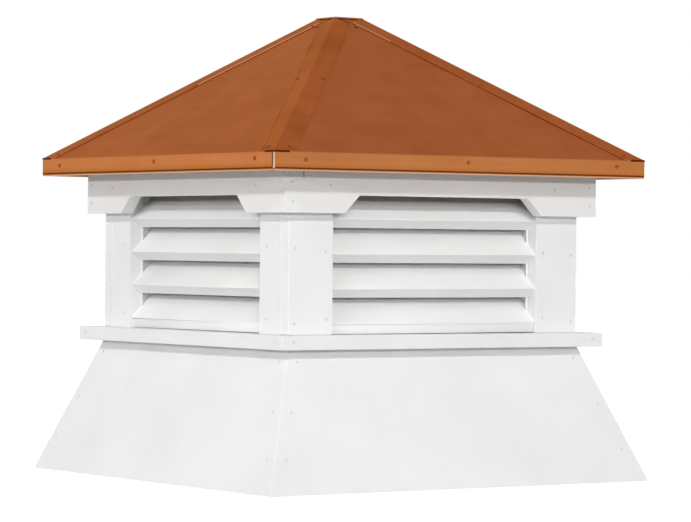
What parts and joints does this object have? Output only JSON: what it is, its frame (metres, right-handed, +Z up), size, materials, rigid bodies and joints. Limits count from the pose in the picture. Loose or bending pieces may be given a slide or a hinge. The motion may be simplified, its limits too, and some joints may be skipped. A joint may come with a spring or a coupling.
{
  "type": "barn cupola",
  "caption": "Square barn-roof cupola: a flared white skirt, louvred vents on each side, a notched frieze and a low copper hip roof with a small flat top.",
  "frame": {"origin": "centre of the skirt's bottom rim, on the plane it rests on", "axes": "+Z up along the cupola's centre line; the front is -Y, the left side -X"},
  "size_m": [0.796, 0.796, 0.8202],
  "materials": {
    "white_board": "smooth white cellular PVC trim board, satin",
    "white_blades": "folded white vinyl louvre blades, satin",
    "plywood": "unpainted softwood plywood",
    "roof_copper": "new copper sheet, mill finish, soft brown-orange sheen",
    "fascia_copper": "bent copper strip, brighter mill finish",
    "hip_copper": "folded copper hip strips, mill finish"
  },
  "bodies": {
    "root": {"skirt_front": "white_board", "skirt_right": "white_board", "skirt_back": "white_board", "skirt_left": "white_board", "sill_front": "white_board", "sill_right": "white_board", "sill_back": "white_board", "sill_left": "white_board", "corner_board_front_left": "white_board", "corner_board_front_right": "white_board", "corner_board_back_left": "white_board", "corner_board_back_right": "white_board", "corner_return_front_left": "white_board", "corner_return_front_right": "white_board", "corner_return_back_left": "white_board", "corner_return_back_right": "white_board", "louvre_frame_front": "white_board", "louvre_frame_right": "white_board", "louvre_frame_back": "white_board", "louvre_frame_left": "white_board", "louvre_blades_front": "white_blades", "louvre_blades_right": "white_blades", "louvre_blades_back": "white_blades", "louvre_blades_left": "white_blades", "frieze_front": "white_board", "frieze_right": "white_board", "frieze_back": "white_board", "frieze_left": "white_board", "soffit": "plywood", "roof_deck_front": "plywood", "roof_deck_right": "plywood", "roof_deck_back": "plywood", "roof_deck_left": "plywood", "roof_sheet_front": "roof_copper", "roof_sheet_right": "roof_copper", "roof_sheet_back": "roof_copper", "roof_sheet_left": "roof_copper", "fascia_front": "fascia_copper", "fascia_right": "fascia_copper", "fascia_back": "fascia_copper", "fascia_left": "fascia_copper", "hip_cap_front_left": "hip_copper", "hip_cap_front_right": "hip_copper", "hip_cap_back_right": "hip_copper", "hip_cap_back_left": "hip_copper", "top_cap": "hip_copper"}
  },
  "joints": []
}
